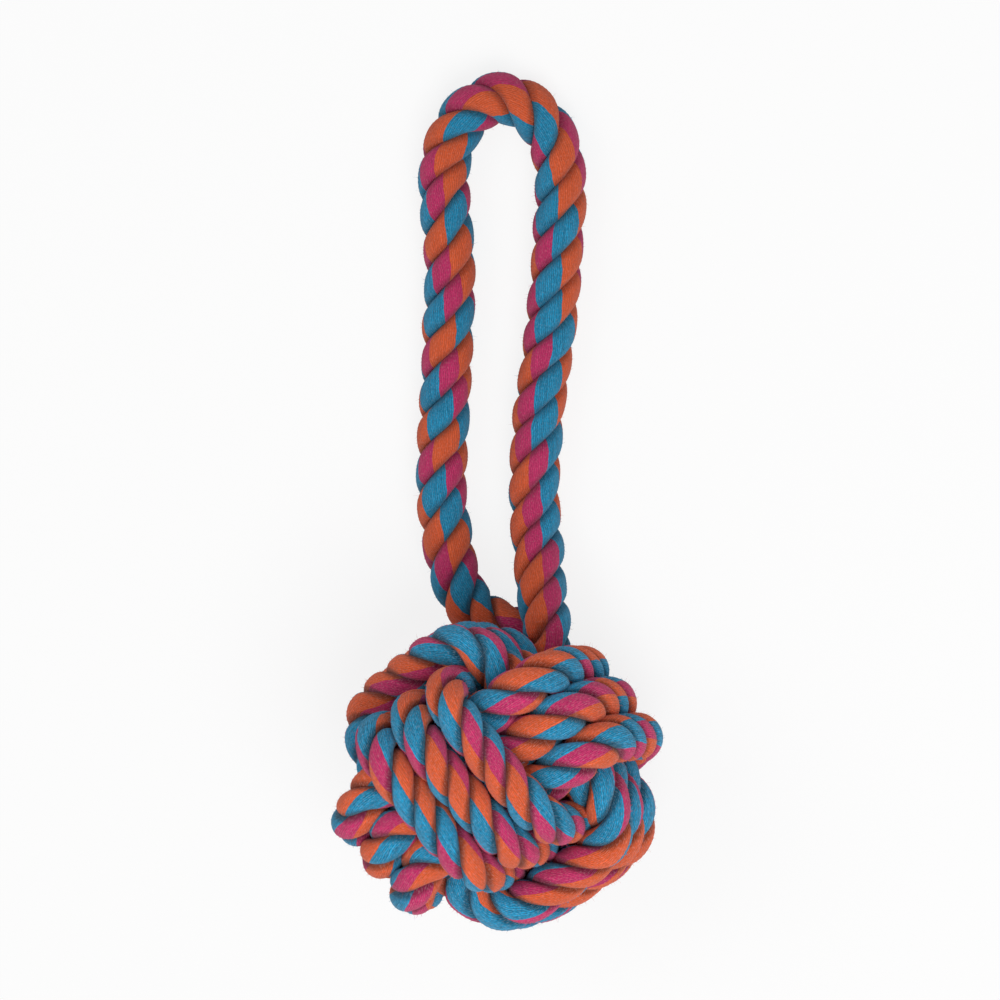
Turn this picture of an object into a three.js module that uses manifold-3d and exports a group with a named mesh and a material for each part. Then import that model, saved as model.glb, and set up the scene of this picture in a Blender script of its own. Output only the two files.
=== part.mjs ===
// Rope dog toy: a monkey's fist ball with a hand loop, one rope drawn as named stretches.
// Units mm, +Z up. The toy lies on the floor: the origin is under the ball, on the floor, and the loop runs along +Y.
import * as THREE from "three";
import { mergeVertices } from "three/addons/utils/BufferGeometryUtils.js";
import Module from "manifold-3d";

const wasm = await Module();
wasm.setup();

// Driving dimensions
const ROPE_DIAMETER = 18; // rope of the hand loop
const KNOT_ROPE_DIAMETER = 14.1; // rope pressed into the ball
const LAYER = KNOT_ROPE_DIAMETER + 0.8; // from one layer of rope to the next, along a radius
const TURN = KNOT_ROPE_DIAMETER + 1.05; // from one turn to the next, side by side
const KNOT_TURNED = 54; // degrees that the front turns run below +X
const FLAT_CUT = 0.1 * KNOT_ROPE_DIAMETER; // the ball is cut flat where it stands, a tenth of its rope
const GAP = 0.3; // between stretches that touch
const BULGE_MIDDLE = 2.6; // how far the middle turn of a face stands out
const BULGE_SIDE = 1.0; // how far the outer turns of a face stand out
const FRONT_SHARE = 0.3; // part of the sideways step that the first winding takes on its upper face
const RIGHT_SHARE = 0.7; // part of the sideways step that the third winding takes on its right face
const LEFT_LEAN = [0.65, 0.58, 0.58]; // how far each left turn leans towards the front corner, in turns
const BULGE_LEFT = 0.6; // how far the left turns stand out
const LOOP_STEPS = 24; // steps round one turn
const SIDES_KNOT = 6;
const SIDES_ROPE = 12;
const LOOP_REACH = 226.4; // from the ball's middle to the top of the loop, along the rope's middle line
const REST_HEIGHT = ROPE_DIAMETER / 2 - 0.6; // middle of the rope where the loop lies on the floor
const SWAY_CENTRE = [-3, 45.5]; // upright axis where the loop leaves the ball
const SWAY_ANGLE = 15;
const SWING_Y = 78; // level axis at the foot of the loop
const FOLD_Y = 146; // level axis half-way up the loop
const HINGE_BALL = ROPE_DIAMETER / 2 - GAP; // rounded end of a stretch
const HINGE_CUP = HINGE_BALL + GAP; // hollow end that takes it
const HINGE_REACH = 4.2; // from a hinge's axis to the ends of the plain rope
const CORE_RADIUS = TURN + LAYER - KNOT_ROPE_DIAMETER / 2 - 2 * GAP;

const CENTRE_Z = TURN + 2 * LAYER + KNOT_ROPE_DIAMETER / 2 - FLAT_CUT;
const turned = THREE.MathUtils.degToRad(KNOT_TURNED);
const E1 = new THREE.Vector3(0, 0, 1); // out of the upper face
const E2 = new THREE.Vector3(Math.cos(turned), -Math.sin(turned), 0); // along the front turns
const E3 = new THREE.Vector3(Math.sin(turned), Math.cos(turned), 0); // across the front turns
const place = (a, b, c) =>
  new THREE.Vector3(0, 0, CENTRE_Z).addScaledVector(E1, a).addScaledVector(E2, b).addScaledVector(E3, c);

// Half a turn round the enclosed winding: a corner, the face, a corner.
// u is out of the face, v along it, w across it. face is +1 or -1, from is the sign of the side it starts on.
function halfTurn(face, from, cornerU, vIn, vOut, w1, w2, bulge, lean = 0) {
  const points = [];
  const arc = (Math.PI / 2) * LAYER;
  const run = Math.abs(vOut - vIn);
  const total = 2 * arc + run;
  const add = (s, u, v) => {
    const t = s / total;
    const w = w1 + (w2 - w1) * t * t * (3 - 2 * t) + lean * Math.sin(Math.PI * t);
    const out = bulge * Math.sin(Math.PI * t) ** 2;
    points.push([face * (cornerU(face, w) + u + out), v, w]);
  };
  for (const deg of [0, 30, 60]) {
    const f = THREE.MathUtils.degToRad(deg);
    add(f * LAYER, LAYER * Math.sin(f), vIn + from * LAYER * Math.cos(f));
  }
  for (const k of [0, 0.5, 1]) add(arc + k * run, LAYER, vIn + (vOut - vIn) * k);
  for (const deg of [30, 60, 90]) {
    const f = THREE.MathUtils.degToRad(deg);
    add(arc + run + f * LAYER, LAYER * Math.cos(f), vOut - from * LAYER * Math.sin(f));
  }
  return points;
}
// Adds a half turn after a straight inner side.
function wind(route, half) {
  const a = route[route.length - 1];
  const b = half[0];
  for (const t of [0.2, 0.5, 0.8]) route.push(a.map((x, i) => x + (b[i] - x) * t));
  route.push(...half);
}
const bulgeOf = (k) => (k === 1 ? BULGE_MIDDLE : BULGE_SIDE);

// Sideways places of the turns on each inner side
const firstP = [1, 0, -1].map((k) => k * TURN);
const firstM = firstP.map((w) => w - FRONT_SHARE * TURN);
const secondP = [-1, 0, 1].map((k) => k * TURN);
const secondM = secondP;
const skew = (RIGHT_SHARE / 2) * TURN;
const thirdBack = [1, 0, -1].map((k) => k * TURN + skew);
const thirdFront = thirdBack.map((w) => w - RIGHT_SHARE * TURN);

// First winding: over the upper face and under the ball, round the third winding
const firstU = () => TURN + LAYER;
const first = [];
const leadLateral = firstM[0] + TURN;
const under = -(TURN + 2 * LAYER);
first.push([under, -2.0 * LAYER, leadLateral + 0.4], [under, -1.0 * LAYER, leadLateral + 0.4], [under, -0.3 * LAYER, leadLateral - 1.2]);
first.push(...halfTurn(-1, -1, firstU, thirdBack[2], thirdBack[0], leadLateral, firstP[0], 0).slice(4));
for (let k = 0; k < 3; k++) {
  wind(first, halfTurn(1, 1, firstU, thirdFront[0], thirdFront[2], firstP[k], firstM[k], bulgeOf(k)));
  if (k < 2) wind(first, halfTurn(-1, -1, firstU, thirdBack[2], thirdBack[0], firstM[k], firstP[k + 1], 0));
}
const sideM = (a) => -(LAYER + TURN * (1 + ((RIGHT_SHARE / 2) * a) / (TURN + LAYER)));
const sideP = (a) => LAYER + TURN * (1 - ((RIGHT_SHARE / 2) * a) / (TURN + LAYER));
const onSideM = (a) => [a, sideM(a), firstM[2]];
first.push(onSideM(0.9 * LAYER), onSideM(0.4 * LAYER), onSideM(0));

// Second winding: over the two end faces of the first one
const secondU = (face, w) => (face > 0 ? sideP(w) : -sideM(w));
const second = [];
for (const [a, b, c] of [
  onSideM(-GAP),
  onSideM(-0.5 * LAYER),
  onSideM(-LAYER),
  [-1.55 * LAYER, -2.0 * LAYER, -1.33 * TURN],
  [-2.0 * LAYER, -2.4 * LAYER, -1.42 * TURN],
  [-2.15 * LAYER, -2.85 * LAYER, -1.15 * TURN],
  [-2.0 * LAYER, -3.05 * LAYER, -0.5 * TURN],
  [-1.6 * LAYER, -3.0 * LAYER, 0.15 * TURN],
])
  second.push([b, c, a]);
second.push(...halfTurn(-1, -1, secondU, firstM[2], firstM[0], -2 * TURN, secondP[0], BULGE_SIDE).slice(5));
for (let k = 0; k < 3; k++) {
  const half = halfTurn(1, 1, secondU, firstP[0], firstP[2], secondP[k], secondM[k], bulgeOf(k));
  wind(second, half);
  if (k < 2) wind(second, halfTurn(-1, -1, secondU, firstM[2], firstM[0], secondM[k], secondP[k + 1], bulgeOf(k + 1)));
}
// Its end is tucked in along the inner side, behind the left turns.
const [endU, endV, endW] = second[second.length - 1];
for (const x of [0.5, 1.0, 1.5]) second.push([endU - x * LAYER, endV - 0.07 * x * LAYER, endW]);

// Third winding: over the right and left faces of the second one, through the first
const outP = (b) => LAYER + TURN * (1 - FRONT_SHARE / 2 + ((FRONT_SHARE / 2) * b) / (TURN + LAYER));
const outM = (b) => LAYER + TURN * (1 + FRONT_SHARE / 2 - ((FRONT_SHARE / 2) * b) / (TURN + LAYER));
const thirdU = (face, w) => (face > 0 ? outP(w) : outM(w));
const third = [];
for (const c of [2.0, 1.7, 1.4]) third.push([-c * LAYER, -(TURN + LAYER), thirdBack[0]]);
for (let k = 0; k < 3; k++) {
  wind(third, halfTurn(1, -1, thirdU, -TURN, TURN, thirdBack[k], thirdFront[k], bulgeOf(k)));
  const next = k < 2 ? thirdBack[k + 1] : thirdBack[2] - TURN;
  wind(third, halfTurn(-1, 1, thirdU, TURN, -TURN, thirdFront[k], next, BULGE_LEFT, LEFT_LEAN[k] * TURN));
}

const firstPath = first.map(([u, v, w]) => place(u, v, w));
const secondPath = second.map(([u, v, w]) => place(w, u, v));
const thirdPath = third.map(([u, v, w]) => place(v, w, u));

const curveOf = (points) => {
  const curve = new THREE.CatmullRomCurve3(points, false, "centripetal");
  curve.arcLengthDivisions = points.length * 24;
  return curve;
};
const sectionOf = (diameter, sides) => {
  const shape = new THREE.Shape();
  for (let k = 0; k <= sides; k++) {
    const f = (2 * Math.PI * (k + 0.5)) / sides;
    const x = (diameter / 2) * Math.cos(f);
    const y = (diameter / 2) * Math.sin(f);
    if (k === 0) shape.moveTo(x, y);
    else if (k < sides) shape.lineTo(x, y);
  }
  shape.closePath();
  return shape;
};
const tube = (points, diameter, sides, steps) =>
  new THREE.ExtrudeGeometry(sectionOf(diameter, sides), { steps, extrudePath: curveOf(points), bevelEnabled: false });

// Closed solids for adding and cutting
function solid(geometry) {
  const plain = new THREE.BufferGeometry().setAttribute(
    "position",
    (geometry.index ? geometry.toNonIndexed() : geometry).getAttribute("position"),
  );
  const merged = mergeVertices(plain, 1e-4);
  return new wasm.Manifold(
    new wasm.Mesh({ numProp: 3, vertProperties: merged.attributes.position.array, triVerts: new Uint32Array(merged.index.array) }),
  );
}
function geometryOf(body) {
  const mesh = body.getMesh();
  const position = new Float32Array(mesh.numVert * 3);
  for (let i = 0; i < mesh.numVert; i++)
    for (let k = 0; k < 3; k++) position[3 * i + k] = mesh.vertProperties[i * mesh.numProp + k];
  const made = new THREE.BufferGeometry();
  made.setAttribute("position", new THREE.BufferAttribute(position, 3));
  made.setIndex(Array.from(mesh.triVerts));
  const flat = made.toNonIndexed();
  flat.computeVertexNormals();
  return flat;
}
const largest = (body) => body.decompose().sort((a, b) => b.volume() - a.volume())[0];
const FLOOR_SIZE = 4 * LOOP_REACH; // wider than the toy, for cutting flats
const floor = wasm.Manifold.cube([FLOOR_SIZE, FLOOR_SIZE, FLOOR_SIZE], true).translate([0, 0, -FLOOR_SIZE / 2]);
const sphere = (r, at, n = 24) => wasm.Manifold.sphere(r, n).translate(at);

// Least gap of the wound rope to itself, on points, over all three windings in the order they are tied
const dense = (points) => curveOf(points).getSpacedPoints(points.length * 10);
const wound = [firstPath, secondPath, thirdPath].map(dense);
const windingNames = ["first", "second", "third"];
const least = new Map();
const marked = wound.flatMap((points, k) => points.map((at) => ({ at, k })));
let along = 0;
marked.forEach((p, i) => {
  if (i) along += p.at.distanceTo(marked[i - 1].at);
  p.along = along;
});
for (let i = 0; i < marked.length; i++)
  for (let j = i + 1; j < marked.length; j++) {
    if (marked[j].along - marked[i].along < 2.2 * KNOT_ROPE_DIAMETER) continue;
    const gap = marked[i].at.distanceTo(marked[j].at) - KNOT_ROPE_DIAMETER;
    const pair = windingNames[marked[i].k] + " winding to " + windingNames[marked[j].k];
    if (gap < (least.get(pair) ?? Infinity)) least.set(pair, gap);
  }
for (const [pair, gap] of least) console.log("least gap,", pair, gap.toFixed(2), "mm");

// The hand loop's route, from the ball's foot on the left, over the top and back down on the right
const SWAY_AT = [SWAY_CENTRE[0], SWAY_CENTRE[1], REST_HEIGHT];
const LEFT_ROUTE = [
  [-11, 44.6],
  [-17.8, 49],
  [-22.6, 56.5],
  [-25.6, 66],
  [-27.5, 78],
  [-28.8, 90],
  [-28.8, 100],
  [-27.8, 117],
  [-26.9, 135],
  [-26.4, 146],
  [-26, 155],
  [-25.9, 172],
  [-27.2, 188],
  [-28, 198],
];
const TOP_ROUTE = [
  [-25.4, 210.6],
  [-19.6, 220.6],
  [-9, 226.4],
  [2, 222.6],
  [9.8, 213.6],
];
const RIGHT_ROUTE = [
  [12.6, 202.5],
  [12.9, 192],
  [11.6, 170],
  [9.4, 146],
  [7.8, 135],
  [5.2, 115],
  [4, 97],
  [4.5, 78],
];
const RIGHT_ROOT = [
  [5.9, 70, 10.8],
  [8, 59, 16.6],
  [11, 46, 23.6],
  [12.2, 39.5, 26.4],
  [10.6, 33, 28.4],
];
// The points above are for this reach; a longer loop stretches what lies past its foot.
const ROUTE_REACH = 226.4;
const stretched = ([x, y]) => [x, y <= SWING_Y ? y : SWING_Y + ((y - SWING_Y) * (LOOP_REACH - SWING_Y)) / (ROUTE_REACH - SWING_Y)];
const flatPoint = (p) => new THREE.Vector3(...stretched(p), REST_HEIGHT);
const handlePath = [
  new THREE.Vector3(...SWAY_AT),
  ...LEFT_ROUTE.map(flatPoint),
  ...TOP_ROUTE.map(flatPoint),
  ...RIGHT_ROUTE.map(flatPoint),
  ...RIGHT_ROOT.map((p) => new THREE.Vector3(...p)),
];
const hinge = (route, y) => {
  const points = route.map(stretched);
  const k = points.findIndex((p, i) => i > 0 && (p[1] - y) * (points[i - 1][1] - y) <= 0);
  const [a, b] = [points[k - 1], points[k]];
  return [a[0] + ((b[0] - a[0]) * (y - a[1])) / (b[1] - a[1]), y, REST_HEIGHT];
};
const swingLeft = hinge(LEFT_ROUTE, SWING_Y);
const swingRight = hinge(RIGHT_ROUTE, SWING_Y);
const foldLeft = hinge(LEFT_ROUTE, FOLD_Y);
const foldRight = hinge(RIGHT_ROUTE, FOLD_Y);

const knotTube = (points, diameter) => {
  const steps = Math.round((LOOP_STEPS * curveOf(points).getLength()) / (12 * LAYER + 2 * Math.PI * LAYER));
  return solid(tube(points, diameter, SIDES_KNOT, steps));
};
const windings = [firstPath, secondPath, thirdPath];
const cutWindings = windings.map((path) => knotTube(path, KNOT_ROPE_DIAMETER).subtract(floor));
// The windings with room round them, as the roots see them while they sway
const roomy = windings.map((path) => knotTube(path, KNOT_ROPE_DIAMETER + 2 * 0.4 + 1.0));
const swept = [];
for (const deg of [-SWAY_ANGLE, -SWAY_ANGLE / 2, 0, SWAY_ANGLE / 2, SWAY_ANGLE])
  for (const body of roomy)
    swept.push(body.translate([-SWAY_AT[0], -SWAY_AT[1], 0]).rotate([0, 0, deg]).translate([SWAY_AT[0], SWAY_AT[1], 0]));
const room = wasm.Manifold.union(swept);

const wholeLoop = solid(tube(handlePath, ROPE_DIAMETER, SIDES_ROPE, 78));
const below = (body, y) => body.trimByPlane([0, -1, 0], -y);
const above = (body, y) => body.trimByPlane([0, 1, 0], y);
const leftToRight = (body) => body.decompose().sort((a, b) => a.boundingBox().min[0] - b.boundingBox().min[0]);
const roots = leftToRight(below(wholeLoop, SWING_Y - HINGE_REACH));
const rootLeft = roots[0].subtract(sphere(HINGE_CUP, swingLeft)).add(sphere(HINGE_BALL, SWAY_AT));
const rootRight = roots[1].subtract(sphere(HINGE_CUP, swingRight));
const legsBoth = leftToRight(below(above(wholeLoop, SWING_Y + HINGE_REACH), FOLD_Y - HINGE_REACH));
const legLeft = legsBoth[0].add(sphere(HINGE_BALL, swingLeft)).subtract(sphere(HINGE_CUP, foldLeft));
const legRight = legsBoth[1].add(sphere(HINGE_BALL, swingRight)).subtract(sphere(HINGE_CUP, foldRight));
const loopTop = above(wholeLoop, FOLD_Y + HINGE_REACH).add(sphere(HINGE_BALL, foldLeft)).add(sphere(HINGE_BALL, foldRight));

const cotton = (colour) => new THREE.MeshStandardMaterial({ color: colour, roughness: 0.95, metalness: 0 });
const toy = new THREE.Group();
toy.name = "rope_dog_toy";
// The part's origin is on the flat of the middle turn that the ball rests on.
const restFlat = E3.clone().multiplyScalar((firstM[0] + firstP[1]) / 2);
const put = (name, body, colour) => {
  const mesh = new THREE.Mesh(geometryOf(body.translate([-restFlat.x, -restFlat.y, 0])), cotton(colour));
  mesh.name = name;
  toy.add(mesh);
};
put("core_knot", sphere(CORE_RADIUS, place(0, 0, (-FRONT_SHARE / 2) * TURN).toArray(), 28), 0xa85a6a);
put("first_winding", cutWindings[0], 0x8a6a84);
put("second_winding", cutWindings[1], 0x8f6f78);
put("third_winding", cutWindings[2], 0x7f6f8a);
put("root_left", largest(rootLeft.subtract(room).subtract(floor)), 0x8a6a84);
put("root_right", largest(rootRight.subtract(room).subtract(floor)), 0x8f6f78);
put("leg_left", legLeft.subtract(floor), 0x8a6a84);
put("leg_right", legRight.subtract(floor), 0x8f6f78);
put("loop_top", loopTop.subtract(floor), 0x7f6f8a);

const shown = (p) => [p[0] - restFlat.x, p[1] - restFlat.y, p[2]].map((x) => x.toFixed(3)).join(" ");
console.log("sway axis", shown(SWAY_AT), "swing axis", shown(swingLeft), "fold axis", shown(foldLeft));
console.log("ball centre", shown([0, 0, CENTRE_Z]));

export default toy;
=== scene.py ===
# %% [markdown]
# A rope dog toy: one length of thick cotton rope, tied into a monkey's fist ball with a hand loop.
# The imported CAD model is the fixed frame. It has a plain tube for each stretch of rope, and this lesson
# lays real three-strand rope along the same routes, then dyes it and lights it like a studio photograph.
# All lengths are metres in the CAD frame: the toy lies on the floor, +Z is up, and the loop runs along +Y.

# %% Load the frame
import math
import bpy
import numpy as np
from mathutils import Matrix, Vector


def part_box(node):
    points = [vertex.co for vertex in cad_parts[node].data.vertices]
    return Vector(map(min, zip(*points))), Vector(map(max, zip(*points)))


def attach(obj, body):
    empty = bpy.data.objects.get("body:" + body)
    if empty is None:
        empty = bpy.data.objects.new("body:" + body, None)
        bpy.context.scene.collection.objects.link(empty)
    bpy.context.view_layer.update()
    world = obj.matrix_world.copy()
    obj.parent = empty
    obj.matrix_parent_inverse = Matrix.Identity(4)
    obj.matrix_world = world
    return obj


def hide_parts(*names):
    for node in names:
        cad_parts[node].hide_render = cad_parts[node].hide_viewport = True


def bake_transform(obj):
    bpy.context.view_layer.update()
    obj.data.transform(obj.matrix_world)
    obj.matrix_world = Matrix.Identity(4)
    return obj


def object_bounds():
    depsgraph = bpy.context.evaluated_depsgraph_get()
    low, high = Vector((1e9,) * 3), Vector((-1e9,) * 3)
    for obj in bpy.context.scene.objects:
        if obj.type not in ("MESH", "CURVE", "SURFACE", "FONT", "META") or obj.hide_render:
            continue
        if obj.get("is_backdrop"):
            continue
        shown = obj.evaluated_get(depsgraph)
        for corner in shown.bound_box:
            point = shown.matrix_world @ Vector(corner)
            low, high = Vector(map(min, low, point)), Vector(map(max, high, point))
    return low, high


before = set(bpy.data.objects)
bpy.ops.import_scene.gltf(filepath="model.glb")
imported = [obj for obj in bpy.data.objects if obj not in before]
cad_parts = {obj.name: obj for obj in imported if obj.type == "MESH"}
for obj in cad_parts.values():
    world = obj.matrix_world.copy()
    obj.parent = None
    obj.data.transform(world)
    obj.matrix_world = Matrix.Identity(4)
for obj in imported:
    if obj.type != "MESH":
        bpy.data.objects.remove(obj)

cad_box = [[float(x) for x in corner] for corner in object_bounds()]
MM = 0.001
print("CAD nodes:", ", ".join(sorted(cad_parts)))
print("CAD box in mm:", [[round(x / MM, 1) for x in corner] for corner in cad_box])

# %% [markdown]
# The camera comes first, because every later choice is judged through it. The photograph looks down on the
# toy with a long lens, so the loop and the ball keep nearly the same scale. Three unit vectors say which way
# the picture's right, its up and the line back to the lens point, and they become the camera's axes.

# %% Camera
BALL_MIDDLE = np.array([-4.290, -3.117, 50.590]) * MM
RIGHT = np.array([0.9811, 0.0, -0.1935])
UP = np.array([-0.0269, 0.9903, -0.1366])
BACK = np.array([0.1916, 0.1392, 0.9715])
AIM_RIGHT, AIM_UP = 0.17 * MM, 92.5 * MM  # from the ball's middle to the middle of the picture
LENS_DISTANCE = 1.7
FRAME_WIDTH = 0.340  # what the square picture takes in at the ball
SENSOR = 36.0  # width in millimetres, as Blender wants it

aim = BALL_MIDDLE + AIM_RIGHT * RIGHT + AIM_UP * UP
camera = bpy.data.objects.new("camera", bpy.data.cameras.new("camera"))
bpy.context.scene.collection.objects.link(camera)
axes = Matrix((RIGHT, UP, BACK)).transposed().to_4x4()
camera.matrix_world = Matrix.Translation(Vector(aim + LENS_DISTANCE * BACK)) @ axes
camera.data.sensor_width = SENSOR
camera.data.lens = SENSOR * LENS_DISTANCE / FRAME_WIDTH
camera.data.clip_end = 20.0
bpy.context.scene.camera = camera
print("lens", round(camera.data.lens, 1), "mm at", [round(float(x), 3) for x in camera.location])

# %% [markdown]
# A rope has no shape of its own, only a route. A route is a smooth curve through a few chosen points.
# Blender's curve objects could carry it, but a laid rope has to know its exact length and twist at every
# step, so the curve is worked out here: a centripetal Catmull-Rom spline, which passes through its points
# without loops.

# %% Smooth routes
STEP = 1.2 * MM  # from one ring of a rope's mesh to the next
DENSE = 40  # points worked out between two chosen ones, before they are spaced evenly


def lengths(line):
    """Length along a line up to each of its points."""
    return np.concatenate([[0], np.cumsum(np.linalg.norm(np.diff(line, axis=0), axis=1))])


def smooth_route(points, step):
    """Points a step apart along a smooth curve through the given points."""
    p = np.array(points, dtype=float)
    p = np.vstack([2 * p[0] - p[1], p, 2 * p[-1] - p[-2]])
    t = np.linspace(0, 1, DENSE, endpoint=False)[:, None]
    dense = []
    for a, b, c, d in zip(p[:-3], p[1:-2], p[2:-1], p[3:]):
        ab, bc, cd = (math.sqrt(np.linalg.norm(y - x)) for x, y in ((a, b), (b, c), (c, d)))
        go = ((b - a) / ab - (c - a) / (ab + bc) + (c - b) / bc) * bc
        come = ((c - b) / bc - (d - b) / (bc + cd) + (d - c) / cd) * bc
        dense.append(b + go * t + (3 * (c - b) - 2 * go - come) * t ** 2 + (2 * (b - c) + go + come) * t ** 3)
    dense = np.vstack(dense + [p[-2:-1]])
    run = lengths(dense)
    along = np.linspace(0, run[-1], max(2, round(run[-1] / step)) + 1)
    return np.column_stack([np.interp(along, run, dense[:, k]) for k in range(3)])


quarter = smooth_route([(math.cos(t), math.sin(t), 0) for t in np.linspace(0, math.pi / 2, 7)], 0.01)
print("test: a quarter circle of radius 1 measures", round(lengths(quarter)[-1], 4))

# %% [markdown]
# The hand loop is the free part of the rope. It climbs out of the ball, lies on the floor up the right side,
# bends round at the top and comes back down the left side to the ball. These are the points of the CAD
# source, so the rope lies where its tubes are. Only the last few differ: there the rope goes on under the
# ball, where the tube ends.

# %% Route of the hand loop
SOURCE_TO_FRAME = np.array([-4.290, -3.117, 0.0])  # from the origin of the points below to the frame's
REST_HEIGHT = 8.4  # the rope's middle above the floor, a little flattened by its weight

out_of_ball = [(10.6, 33, 28.4), (12.2, 39.5, 26.4), (11, 46, 23.6), (8, 59, 16.6), (5.9, 70, 10.8)]
right_side = [(4.5, 78), (4, 97), (5.2, 115), (7.8, 135), (9.4, 146), (11.6, 170), (12.9, 192), (12.6, 202.5)]
crown = [(9.8, 213.6), (2, 222.6), (-9, 226.4), (-19.6, 220.6), (-25.4, 210.6)]
left_side = [(-28, 198), (-27.2, 188), (-25.9, 172), (-26, 155), (-26.4, 146), (-26.9, 135), (-27.8, 117),
             (-28.8, 100), (-28.8, 90), (-27.5, 78), (-25.6, 66), (-22.6, 56.5), (-17.8, 49), (-11.5, 44.8),
             (-6.8, 43.3)]
under_ball = [(-2.9, 42.6, 8.2), (0.65, 41.0, 7.6), (3.53, 38.30, 6.99)]

loop_points = out_of_ball + [(x, y, REST_HEIGHT) for x, y in right_side + crown + left_side] + under_ball
loop_line = smooth_route((np.array(loop_points) + SOURCE_TO_FRAME) * MM, STEP)
print("the loop's rope is", round(lengths(loop_line)[-1], 3), "m long, from the ball and back to it")

# %% [markdown]
# The ball is a monkey's fist: three groups of three turns, each group wound at right angles to the one before
# and holding it. Half a turn is a corner, a straight run over one face and another corner, so one function
# makes every half turn, and each winding is a list of them. The numbers are those of the CAD source, in
# millimetres. Only the left turns stand out less here, because laid rope is fuller than a tube.

# %% Half turns of the ball
KNOT_ROPE = 14.1  # the space that the pressed rope takes
LAYER = KNOT_ROPE + 0.8  # one layer of rope to the next
TURN = KNOT_ROPE + 1.05  # one turn to its neighbour
FRONT_SHARE, RIGHT_SHARE = 0.3, 0.7  # how much of its sideways step a winding takes on the side that shows
BULGE = (1.0, 2.6, 1.0)  # how far each turn of a face stands out
LEFT_LEAN = (0.65, 0.58, 0.58)  # how far the left turns lean to the front corner, in turns
LEFT_BULGE = -0.4  # how far they stand out


def ease(t):
    """Goes from 0 to 1 with a soft start and a soft end."""
    t = np.clip(t, 0, 1)
    return t * t * (3 - 2 * t)


def half_turn(face, start_side, corner_u, v_in, v_out, w_in, w_out, bulge, lean=0.0):
    """u is out of the face, v along it and w across it."""
    arc, run = math.pi / 2 * LAYER, abs(v_out - v_in)
    steps = [(f * LAYER, LAYER * math.sin(f), v_in + start_side * LAYER * math.cos(f))
             for f in (0, math.pi / 6, math.pi / 3)]
    steps += [(arc + k * run, LAYER, v_in + (v_out - v_in) * k) for k in (0, 0.5, 1)]
    steps += [(arc + run + f * LAYER, LAYER * math.cos(f), v_out - start_side * LAYER * math.sin(f))
              for f in (math.pi / 6, math.pi / 3, math.pi / 2)]
    points = []
    for s, u, v in steps:
        t = s / (2 * arc + run)
        w = w_in + (w_out - w_in) * ease(t) + lean * math.sin(math.pi * t)
        points.append((face * (corner_u(face, w) + u + bulge * math.sin(math.pi * t) ** 2), v, w))
    return points


def wind(route, half):
    """Adds a half turn after a straight inner side."""
    a, b = np.array(route[-1]), np.array(half[0])
    route += [tuple(a + (b - a) * t) for t in (0.2, 0.5, 0.8)] + half


down = (1, 0, -1)
first_p = [k * TURN for k in down]
first_m = [w - FRONT_SHARE * TURN for w in first_p]
second_w = [-k * TURN for k in down]
third_back = [k * TURN + RIGHT_SHARE / 2 * TURN for k in down]
third_front = [w - RIGHT_SHARE * TURN for w in third_back]
print("a half turn of rope takes", len(half_turn(1, 1, lambda f, w: TURN, 0, 1, 0, 1, 0)), "points")

# %% [markdown]
# The first winding goes over the upper face and under the ball. Its lead comes from the hand loop. It ends on
# the lower left side, where the rope turns the corner into the second winding.

# %% First winding
def side_minus(a):
    """Where the first winding's end face stands at a height, on the minus side."""
    return -(LAYER + TURN * (1 + RIGHT_SHARE / 2 * a / (TURN + LAYER)))


def side_plus(a):
    """The same on the plus side."""
    return LAYER + TURN * (1 - RIGHT_SHARE / 2 * a / (TURN + LAYER))


def first_corner(face, w):
    """How far out of its face the corner of a turn begins."""
    return TURN + LAYER


lead_across = first_m[0] + TURN
under = -(TURN + 2 * LAYER)
first = [(under, -2.0 * LAYER, lead_across + 0.4), (under, -LAYER, lead_across + 0.4),
         (under, -0.3 * LAYER, lead_across - 1.2)]  # the lead gives way a little to the turn beside it
first += half_turn(-1, -1, first_corner, third_back[2], third_back[0], lead_across, first_p[0], 0)[4:]
for k in range(3):
    wind(first, half_turn(1, 1, first_corner, third_front[0], third_front[2],
                          first_p[k], first_m[k], BULGE[k]))
    if k < 2:
        wind(first, half_turn(-1, -1, first_corner, third_back[2], third_back[0],
                              first_m[k], first_p[k + 1], 0))
first += [(a, side_minus(a), first_m[2]) for a in (0.9 * LAYER, 0.4 * LAYER, 0.0)]
print("first winding:", len(first), "points")

# %% [markdown]
# The second winding lies over the two ends of the first one, and the third winding over the sides of the
# second, through the first. The ends are tucked in behind other turns, as in any such knot. The third
# winding's two ends are cut a little differently from its tube, so that neither of them shows.

# %% Second and third windings
def second_corner(face, w):
    """The same for the second winding, which lies on the slanting ends of the first."""
    return side_plus(w) if face > 0 else -side_minus(w)


def third_corner(face, w):
    """The same for the third winding, which lies on the slanting sides of the second."""
    return LAYER + TURN * (1 - face * FRONT_SHARE / 2 * (1 - w / (TURN + LAYER)))


L, T = LAYER, TURN
round_corner = [(-1.55 * L, -2.0 * L, -1.33 * T), (-2.0 * L, -2.4 * L, -1.42 * T),
                (-2.15 * L, -2.85 * L, -1.15 * T), (-2.0 * L, -3.05 * L, -0.5 * T),
                (-1.6 * L, -3.0 * L, 0.15 * T)]  # from the first winding's end
open_start = [(a, side_minus(a), first_m[2]) for a in (-0.3, -0.5 * L, -L)] + round_corner
second = [(b, c, a) for a, b, c in open_start]
second += half_turn(-1, -1, second_corner, first_m[2], first_m[0], -2 * T, second_w[0], BULGE[0])[5:]
for k in range(3):
    wind(second, half_turn(1, 1, second_corner, first_p[0], first_p[2], second_w[k], second_w[k], BULGE[k]))
    if k < 2:
        wind(second, half_turn(-1, -1, second_corner, first_m[2], first_m[0],
                               second_w[k], second_w[k + 1], BULGE[k + 1]))
end_u, end_v, end_w = second[-1]
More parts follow.
